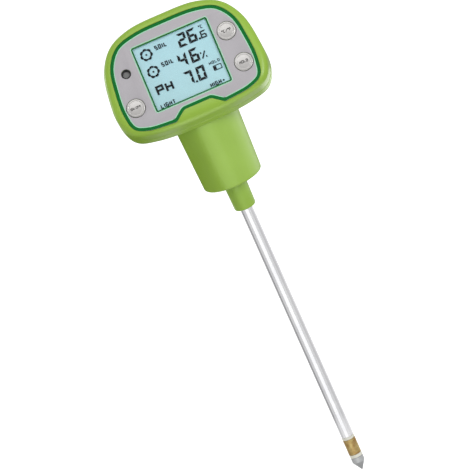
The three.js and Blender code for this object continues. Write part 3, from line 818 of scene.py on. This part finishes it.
def rear_housing():
    edge, lip = 4.0, 0.35
    rear_front = parting - 0.3
    rings = []
    for turn in quarter_turn(10):
        inward, rise = edge * (1 - math.sin(turn)), edge * (1 - math.cos(turn))
        rings.append(at(inset(head_outline, inward), back_plane + rise))
    rings += [at(head_outline, rear_front - lip), at(inset(head_outline, lip), rear_front)]
    housing = placed("rear_housing_moulding", lofted(rings), HEAD)
    above_front, far_out = 1.0, 60
    whole_head = rounded_rectangle(200, 200, 1)
    barrel = placed("barrel", barrel_outside())
    cut(barrel, plate_tool(whole_head, back_plane + wall + 0.4, far_out))
    cut(housing, barrel, how="UNION")
    hollow = plate_tool(inset(head_outline, wall), back_plane + wall, above_front)
    bore = placed("bore", turned(barrel_profile(barrel_wall, barrel_base + 2.4, 0.6), 96))
    cut(bore, plate_tool(whole_head, back_plane + wall + 0.8, far_out))
    radius, below, above = 6.5, barrel_base - 5, 230
    collar_pin = [(0, below), (radius, below), (radius, above), (0, above)]
    collar_hole = placed("collar_hole", turned(collar_pin, 48))
    cut(housing, hollow, bore, collar_hole, doorway_tool(0))
    below_back = back_plane - 2
    cut(housing, *[hole(screw_opening, place, below_back, screw_seat) for place in screw_places])
    without_slivers(round_edges(housing, 0.45))
    return dressed(housing, leaf_green, "meter", "green_plastic", "rear_housing")


rear_housing()

# %% [markdown]
# ## The battery door
# The door is a slice of the same barrel, cut by a slightly smaller block, so it always sits flush and
# leaves an even gap. Its ribs give the thumb a hold. The two tabs at its foot hook inside the grip.


# %% Battery door
def battery_door():
    door = placed("battery_door_moulding", barrel_outside())
    inside = placed("bore", turned(barrel_profile(2, barrel_base + 1, 0.6), 96))
    cut(door, doorway_tool(0.4), how="INTERSECT")
    cut(door, inside)
    round_edges(door, 0.35)
    section = [(0.98, -0.4), (0.98, 0.4), (1.01, 0.36), (1.018, 0.15), (1.018, -0.15), (1.01, -0.36)]
    ribs = []
    for i in range(5):
        z, half = door_high - 9 + i * 1.6, 6.5 - i * 0.6
        reach = barrel_radius(z)
        sweep_half = math.degrees(math.asin(half / reach))
        line = arc(0, 0, reach, 90 - sweep_half, 90 + sweep_half, 16)
        ribs.append(lofted([[(x * k, y * k, z + dz) for k, dz in section] for x, y in line]))
    tabs = []
    for x in (-7.5, 7.5):
        hook = rounded_rectangle(4, 7.8, 0.8, x, door_low + 1.5, 4)
        web = rounded_rectangle(4, 2, 0.4, x, door_low + 2.4, 3)
        for outline, near, far in ((hook, 14.6, 15.7), (web, 14.8, 18.4)):
            tabs.append(lofted([upright(outline, y) for y in (near, far)]))
    extras = placed("door_ribs_and_tabs", joined(*ribs, *tabs))
    dressed(extras, leaf_green, "battery_cover", "green_plastic")
    return dressed(door, leaf_green, "battery_cover", "green_plastic", "battery_door")


battery_door()

# %% [markdown]
# ## The probe
# Everything below the grip is turned, so each piece is one profile. The small chamfers matter more
# than they seem: each one catches a thin line of light, and that is what separates metal from metal.

# %% Collar and probe
rod_radius = radius_of("probe_tube")
collar_low, collar_high = heights("probe_collar")
collar_top = barrel_base - 0.15


def collar():
    bore = rod_radius + 0.15
    foot = arc(5.9, collar_low + 1.5, 1.5, -90, 0, 8)
    flare = [(7.75 + 0.55 * t * t, collar_top - 1.6 + 1.6 * t) for t in quarters]
    profile = [(bore, collar_low), *foot, (7.6, collar_low + 12), *flare]
    profile += [(6.2, collar_top), (6.2, collar_high), (bore, collar_high), (bore, collar_low)]
    piece = placed("collar_moulding", turned(profile, 72))
    return dressed(piece, leaf_green, "meter", "green_plastic", "probe_collar", smooth=30)


def sleeve(name, node, finish, slot, bore, edge=0.15):
    """A ring of the probe, its outer edges broken by a small chamfer."""
    low, high = heights(node)
    r = radius_of(node)
    outer = [(r - edge, low), (r, low + edge), (r, high - edge), (r - edge, high)]
    profile = [(bore, low), *outer, (bore, high), (bore, low)]
    piece = placed(name, turned(profile, 64))
    return dressed(piece, finish, "meter", slot, node, smooth=30)


def tip():
    low, high = heights("probe_tip")
    r = radius_of("probe_tip")
    cone_top = 6.7
    point = arc(0, 0.55, 0.45, -90, -35, 5)
    point[0] = (0, point[0][1])
    shoulder = [(r - 0.22, cone_top - 0.45), (r - 0.05, cone_top - 0.05), (r, cone_top + 0.4)]
    profile = [*point, *shoulder, (r, high - 0.15), (r - 0.15, high), (1.9, high), (1.9, 5), (0, 5)]
    piece = placed("tip_cone", turned(profile, 64))
    return dressed(piece, dull_zinc, "meter", "tip_metal", "probe_tip", smooth=25)


collar()
sleeve("probe_bright_tube", "probe_tube", bright_probe, "probe_metal", 3.5)
sleeve("insulator_above_band", "upper_insulator", warm_white, "white_plastic", 3.25)
sleeve("brass_electrode_band", "brass_band", brass, "brass_parts", 3.25, 0.2)
sleeve("insulator_below_band", "lower_insulator", warm_white, "white_plastic", 3.25)
tip()

# %% [markdown]
# ## Faceplate and print
# The faceplate is a thin foil glued into the pocket. Its border and lines are screen-printed: here each
# is a real strip a few hundredths of a millimetre thick, which stays crisp at any distance.

# %% Faceplate
plate_low, plate_high = -0.9, -0.4
print_low, print_high = plate_high - 0.01, plate_high + 0.03


def faceplate():
    plate = placed("faceplate_foil", slab(plate_outline, plate_low, plate_high), HEAD)
    below, above = -2.0, 1.0
    cut(plate, *face_openings(below, above))
    round_edges(plate, 0.08, 2)
    return dressed(plate, foil_grey, "meter", "faceplate_foil", "faceplate")


def printed(name, finish, body, *shapes, slot="faceplate_foil"):
    return dressed(placed(name, joined(*shapes), HEAD), finish, body, slot, smooth=20)


faceplate()

# %% Border and lines
border_width = 2.1
mint_width = 0.5
frame_width = 0.7
border_middle = inset(plate_outline, 0.03 + border_width / 2)
mint_inside = inset(plate_outline, 0.03 + border_width + mint_width / 2)
border = stroke(border_middle, border_width, print_low, print_high, True)
printed("border_print", border_green, "meter", border)
window_edge = stroke(rounded_rectangle(54.6, 48.2, 1.8), mint_width, print_low, print_high, True)
mint_border = stroke(mint_inside, mint_width, print_low, print_high - 0.01, True)
printed("mint_print", mint_line, "meter", mint_border, window_edge)

# %% [markdown]
# ## The display
# A liquid crystal display is a sheet of glass over a reflector. Its black segments float a fraction of
# a millimetre above the reflector, and their soft second image on it is what makes a display look deep.

# %% Display glass and its window
lcd_low, lcd_shoulder, lcd_face = -6.3, -3.5, -1.5
lens_outline = rounded_rectangle(53.4, 47.0, 1.2)
lens_low, lens_high = -1.2, -0.5


def display():
    panel = placed("display_panel", slab(rounded_rectangle(57, 53.4, 0.6), lcd_low, lcd_shoulder, 0.15), HEAD)
    front_glass = slab(rounded_rectangle(53, 46.6, 1.0), lcd_shoulder - 0.5, lcd_face, 0.1)
    cut(panel, placed("front_glass", front_glass, HEAD), how="UNION")
    dressed(panel, display_blue, "meter", "display_glass", "lcd_glass")
    lens = placed("display_window", slab(lens_outline, lens_low, lens_high, 0.15), HEAD)
    dressed(lens, clear_window, "meter", "clear_window", "display_lens")
    line = stroke(inset(lens_outline, 0.03 + frame_width / 2), frame_width, lens_high, lens_high + 0.04, True)
    printed("window_edge_print", border_green, "meter", line, slot="display_glass")


display()

# %% Letters and digits
STROKES = {  # each letter as lines through points of a grid, up to two columns wide and four rows high
    "S": ["24 04 02 22 20 00"], "O": ["00 04 24 20"], "I": ["04 00"], "L": ["04 00 20"],
    "P": ["00 04 24 22 02"], "H": ["04 00", "24 20", "02 22"], "G": ["24 04 00 20 22 12"],
    "T": ["04 24", "14 10"], "D": ["00 04 14 23 21 10"], "N": ["00 04 20 24"], "F": ["24 04 00", "02 22"],
    "C": ["24 04 00 20"], "/": ["24 00"], "°": ["04 14 13 03"], "%": ["24 00", "04 03", "21 20"],
    "+": ["13 11", "02 22"],
}
LOOPS = "OD°"  # the letters whose line closes on itself
SEGMENTS = {"0": "abcdef", "4": "bcfg", "6": "acdefg", "7": "abc", "2": "abdeg"}


def lettering(text, cx, cy, height, low, high, weight=0.2, wide=0.56, gap=0.4):
    """Words in plain strokes, centred on a point; weight, width and gap are shares of the height."""
    across, up = height * wide / 2, height / 4
    widths = [across * max(int(point[0]) for line in STROKES[c] for point in line.split()) for c in text]
    x = cx - (sum(widths) + gap * height * (len(text) - 1)) / 2
    shapes = []
    for letter, width in zip(text, widths):
        for line in STROKES[letter]:
            points = [(x + int(p[0]) * across, cy + (int(p[1]) - 2) * up) for p in line.split()]
            shapes.append(stroke(points, height * weight, low, high, letter in LOOPS))
        x += width + gap * height
    return shapes


def digit(figure, cx, cy, width, height, low, high, lean=0.06):
    """A seven-segment figure: mitred bars with a hair's breadth between them."""
    x, y, bar = width / 2, height / 2, height * 0.17
    hair = bar * 0.07
    flat = [(-x + hair, y), (-x + bar + hair, y - bar), (x - bar - hair, y - bar), (x - hair, y)]
    side = [
        (-x, y - hair), (-x, hair), (-x + bar / 2, hair), (-x + bar, bar / 2 + hair),
        (-x + bar, y - bar - hair),
    ]
    half_bar = [(-x + bar / 2 + hair, 0), (-x + bar + hair, -bar / 2), (x - bar - hair, -bar / 2)]
    middle = half_bar + [(-u, -v) for u, v in half_bar]
    bars = {"a": (flat, 1, 1), "d": (flat, 1, -1), "g": (middle, 1, 1)}
    bars |= {"f": (side, 1, 1), "b": (side, -1, 1), "e": (side, 1, -1), "c": (side, -1, -1)}
    shapes = []
    for name in SEGMENTS[figure]:
        corners, flip_x, flip_y = bars[name]
        outline = [Vector((cx + u * flip_x + v * flip_y * lean, cy + v * flip_y)) for u, v in corners]
        if flip_x * flip_y < 0:
            outline.reverse()
        shapes.append(slab(outline, low, high))
    return shapes


def flower(cx, cy, radius, low, high):
    """A plain flower sign: seven separate petals in thick line, round an open middle with one dot."""
    shapes = [slab(circle(radius * 0.15, cx, cy, 16), low, high)]
    petals = 7
    for i in range(petals):
        turn = 90 + 360 * i / petals
        away = math.radians(turn)
        middle = (cx + 0.66 * radius * math.cos(away), cy + 0.66 * radius * math.sin(away))
        petal = arc(*middle, 0.21 * radius, turn - 95, turn + 95, 10)
        shapes.append(stroke(petal, radius * 0.32, low, high))
    return shapes


# %% What the display shows
def segments(low, high):
    shapes = []
    for icon_v, word_v in ((16.0, 17.8), (3.4, 5.4)):
        shapes += flower(-18.8, icon_v, 4.2, low, high)
        shapes += lettering("SOIL", -8.0, word_v, 2.5, low, high, 0.26, 0.5, 0.52)
    for figure, u in (("2", 6.6), ("6", 13.7)):
        shapes += digit(figure, u, 15.9, 5.9, 9.5, low, high)
    shapes += digit("6", 21.0, 13.7, 4.0, 5.2, low, high)
    shapes.append(slab(rounded_rectangle(1.3, 1.3, 0.2, 17.9, 11.8, 2), low, high))
    shapes += lettering("°C", 21.0, 19.1, 1.9, low, high)
    for figure, u in (("4", 1.9), ("6", 10.2)):
        shapes += digit(figure, u, 2.8, 5.8, 9.5, low, high)
    shapes += lettering("%", 16.0, 0.6, 4.6, low, high, 0.18, 0.66)
    shapes += lettering("PH", -16.0, -10.0, 5.5, low, high, 0.25, 0.72, 0.46)
    for figure, u in (("7", 1.1), ("0", 9.9)):
        shapes += digit(figure, u, -10.3, 5.8, 9.8, low, high)
    shapes.append(slab(rounded_rectangle(1.3, 1.3, 0.2, 5.2, -14.5, 2), low, high))
    shapes += lettering("HOLD", 20.6, -6.7, 1.6, low, high, 0.24, 0.7, 0.56)
    battery_sign = rounded_rectangle(5.4, 3.1, 0.3, 21.3, -11.0, 3)
    shapes.append(stroke(battery_sign, 0.5, low, high, True))
    shapes.append(slab(rounded_rectangle(1.6, 2.3, 0.1, 19.6, -11.0, 2), low, high))
    shapes += lettering("LIGHT", -18.0, -20.9, 2.4, low, high, 0.26, gap=0.46)
    shapes += lettering("HIGH+", 17.4, -20.9, 2.4, low, high, 0.26, gap=0.46)
    return shapes


ink_low, ink_high = lcd_face + 0.1, lcd_face + 0.14
shade_low, shade_high = lcd_face + 0.01, lcd_face + 0.03
printed("display_segments", segment_black, "meter", *segments(ink_low, ink_high), slot="display_glass")
shades = [moved(shape, 0.3, -0.3) for shape in segments(shade_low, shade_high)]
printed("display_segment_shadows", segment_shadow, "meter", *shades, slot="display_glass")

# %% [markdown]
# ## Buttons and the light sensor
# Each button is a shallow dome with a rolled edge. It stands in a hole a third of a millimetre larger,
# and the dark ring round it is simply that gap. Each rides on its own body, with its legend.


# %% Buttons
def button(name, legend, size):
    u, v = button_places[name]
    radius = 6.2
    rolled = arc(radius - 0.7, -0.3, 0.7, 0, 78, 7)
    rim = [(5.15, 0.36), (4.95, 0.16), (4.75, 0.12), (4.5, 0.2)]
    dome = [(4.2 * (1 - t), 0.26 + 0.26 * (1 - (1 - t) ** 2)) for t in quarters]
    under = [(0, -5.0), (2.4, -5.0), (2.4, -4.3), (6.95, -4.3), (6.95, -3.5), (radius, -3.5)]
    cap = placed(f"{name}_button_cap", moved(turned([*under, *rolled, *rim, *dome], 72), u, v), HEAD)
    dressed(cap, pearl_grey, f"{name}_key", "button_plastic", f"{name}_button", smooth=35)
    legend_low, legend_high = 0.36, 0.56
    shapes = lettering(legend, u, v, size, legend_low, legend_high, 0.22, gap=0.36)
    printed(f"{name}_legend", legend_grey, f"{name}_key", *shapes, slot="button_plastic")


button("power", "ON/OFF", 1.35)
button("unit", "°C/°F", 1.7)
button("hold", "HOLD", 1.7)

# %% Light sensor
ring_tube = [(2.5, -4.8), (2.5, -1.0), (2.6, -0.6), (2.8, -0.45), (3.0, -0.48), (3.05, -0.7), (3.05, -4.8)]
sensor_ring = placed("sensor_black_ring", moved(turned([*ring_tube, ring_tube[0]], 56), *sensor_place), HEAD)
dressed(sensor_ring, soft_black, "meter", "black_plastic", "sensor_shroud", smooth=35)
cell_profile = [(0, -4.2), (2.4, -4.2), (2.4, -2.45), (2.25, -2.25), (1.0, -2.2), (0, -2.2)]
cell = placed("light_cell_face", moved(turned(cell_profile, 48), *sensor_place), HEAD)
dressed(cell, cell_grey, "meter", "tip_metal", "light_cell")

# %% [markdown]
# ## Screws
# Four pan-headed screws hold the two mouldings together from behind. A screw is a turned profile with
# its thread as ridges, and a cross recess cut by a tapering plus-shaped plug, the shape of the driver.


# %% Screws
def screw(name, node, place, seat, tip):
    head_radius, head_height, shank = 2.8, 2.0, 1.3
    crown = seat - head_height
    dome = [(0, crown), (1.4, crown + 0.04), (2.3, crown + 0.35), (2.7, crown + 0.95)]
    dome.append((head_radius, crown + 1.4))
    ridges = []
    for i in range(int((tip - seat - 2) / 0.9)):
        z = seat + 0.8 + 0.9 * i
        ridges += [(shank * 0.8, z), (shank, z + 0.22), (shank * 0.8, z + 0.44)]
    profile = [*dome, (head_radius, seat), (shank * 0.8, seat), *ridges, (shank * 0.8, tip - 1), (0, tip)]
    piece = placed(name, moved(turned(profile, 48), *place), HEAD)
    plug = []
    for arm, half, w in ((1.9, 0.42, crown - 0.5), (1.7, 0.36, crown + 0.4), (0.5, 0.2, crown + 1.3)):
        quarter = [Vector((arm, -half)), Vector((arm, half)), Vector((half, half))]
        turns = [Matrix.Rotation(math.radians(90 * k + 20), 2) for k in range(4)]
        plug.append(at([turn @ corner for turn in turns for corner in quarter], w))
    cut(piece, placed("recess", moved(lofted(plug), *place), HEAD))
    dressed(piece, plated_steel, "meter", "steel_fixings", node, smooth=30)


for number, place in enumerate(screw_places, 1):
    screw(f"housing_screw_{number}_cross_head", f"housing_screw_{number}", place, screw_seat - 0.2, -4.4)

# %% [markdown]
# ## Behind the battery door
# When the door tips open it shows the battery, its snap and the two leads. The battery is a can with
# crimped rims and a printed wrap between them; a nine volt block has one plain stud and one ringed one.

# %% Battery
battery_y = 2.6
stud_x = 6.3
battery_shoulder = battery_bottom + battery_case_height


def battery():
    outline = rounded_rectangle(26, 17, 2.2, 0, battery_y)
    rim, waist, edge = 2.0, 0.2, 0.6
    levels = [
        (edge, battery_bottom), (0, battery_bottom + edge), (0, battery_bottom + rim),
        (waist, battery_bottom + rim + 0.25), (waist, battery_shoulder - rim - 0.25),
        (0, battery_shoulder - rim), (0, battery_shoulder - edge), (edge, battery_shoulder),
    ]
    case = placed("battery_case", lofted([at(inset(outline, d), z) for d, z in levels]))
    dressed(case, battery_wrap, "meter", "battery_skin", "battery_9v")
    foot, top = battery_shoulder, battery_shoulder + 2
    plain = [(0, foot), (2.5, foot), (2.4, top - 0.7), (2.75, top - 0.3), (2.5, top), (0, top)]
    ringed = [
        (0, foot), (2.9, foot), (2.9, top - 0.2), (2.7, top), (2.1, top), (1.9, top - 0.3), (1.9, foot + 0.5),
        (0, foot + 0.5),
    ]
    studs = joined(moved(turned(plain, 48), -stud_x, battery_y), moved(turned(ringed, 48), stud_x, battery_y))
    dressed(placed("battery_studs", studs), plated_steel, "meter", "steel_fixings", smooth=30)


battery()


# %% Battery snap and wires
def tube(points, radius, sides=14):
    """A round wire along a smooth line through the points."""
    line = smooth_line(points, False, 8)
    side = Vector((1, 0, 0))
    rings = []
    for before, point, after in zip([line[0], *line], line, [*line[1:], line[-1]]):
        along = (after - before).normalized()
        side = (side - along * side.dot(along)).normalized()
        up = along.cross(side)
        turn = [2 * math.pi * i / sides for i in range(sides)]
        rings.append([point + (side * math.cos(a) + up * math.sin(a)) * radius for a in turn])
    return lofted(rings)


def head_point(u, v, w):
    """A point of the head, in the probe's own millimetres."""
    return (HEAD @ Vector((u, v, w))) / MM


def battery_snap():
    outline = rounded_rectangle(25, 12, 3, 0, battery_y)
    low, high = battery_shoulder + 0.3, battery_shoulder + 4.8
    snap = placed("battery_snap_pad", slab(outline, low, high, 0.9))
    for side in (-1, 1):
        socket = [(0, low - 1), (3.4, low - 1), (3.4, battery_shoulder + 2.4), (0, battery_shoulder + 2.4)]
        cut(snap, placed("socket", moved(turned(socket, 40), side * stud_x, battery_y)))
    return dressed(snap, dark_rubber, "meter", "black_plastic", "battery_snap")


battery_snap()
lead_foot = battery_shoulder + 4.9
mounted = -11.4  # where the parts on the back of the circuit board begin
for colour, side in (("red", 1), ("black", -1)):
    route = [
        (side * 9, battery_y, lead_foot), (side * 9.5, battery_y - 1, lead_foot + 5.2), (side * 12, -4, 297),
        head_point(side * 18, -4, mounted - 5), head_point(side * 20, -3, mounted - 0.2),
    ]
    wire = placed(f"battery_wire_{colour}", tube(route, 0.65))
    dressed(wire, wire_finishes[colour], "meter", f"{colour}_insulation", f"battery_lead_{colour}")

# %% Probe wires
tube_top = heights("probe_tube")[1]
probe_leads = [("tip", "white", 9.2, 0), ("band", "orange", 45, -1.9), ("tube", "blue", 45, 1.9)]
for name, colour, bottom, x in probe_leads:
    route = [
        (x, 0, bottom), (x, 0, 120), (x, 0, tube_top - 3), (x, -1.5, tube_top + 1.5), (x, -9.5, tube_top + 7),
        (x, -12, 255), head_point(x, -20, mounted - 12), head_point(x, -12, mounted - 9),
        head_point(x, -9.2, mounted - 5.3),
    ]
    wire = placed(f"probe_wire_{name}", tube(route, 0.6))
    dressed(wire, wire_finishes[colour], "meter", f"{colour}_insulation", f"probe_lead_{name}")


# %% Foam pad on the door
def foam_pad():
    """A pad glued inside the door: it keeps the battery from rattling, and its faces bulge a little."""
    low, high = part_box("door_foam_pad")
    size, middle = (high - low) / MM, (high + low) / 2 / MM
    rings = []
    for share, tuck in ((0, 1.3), (0.06, 0.5), (0.2, 0.1), (0.5, 0), (0.8, 0.1), (0.94, 0.5), (1, 1.3)):
        outline = rounded_rectangle(size.x - 2 * tuck, size.z - 2 * tuck, 2, middle.x, middle.z, 5)
        rings.append(upright(outline, low.y / MM + size.y * share))
    pad = placed("door_foam_pad_soft", lofted(rings))
    dressed(pad, foam, "battery_cover", "foam", "door_foam_pad", smooth=60)


foam_pad()

# %% [markdown]
# ## Finishes for the pieces that stay as they are
# The circuit board, its parts and the switches are hidden inside, and their plain solids already have
# the right shape. They only change their finish, by putting a new material in the solid's own slot.

# %% Inner pieces
kept_pieces = {
    "main_board": board_mask, "controller_chip": soft_black, "crystal_can": plated_steel,
    "smoothing_capacitor": soft_black, "probe_connector": warm_white, "lcd_holder": warm_white,
    "lcd_backlight": warm_white, "zebra_strip_upper": dark_rubber, "zebra_strip_lower": dark_rubber,
    "collar_seal": dark_rubber, "collar_nut": plated_steel, "probe_core": warm_white,
    "thermistor": soft_black,
}
for name in button_places:
    kept_pieces[f"{name}_plunger"] = soft_black
    kept_pieces[f"{name}_switch"] = soft_black
for number in range(1, 5):
    kept_pieces[f"board_screw_{number}"] = plated_steel
for node, finish in kept_pieces.items():
    frame["nodes"][node].material_slots[0].material = finish.material
print("pieces that only change their finish:", len(kept_pieces))
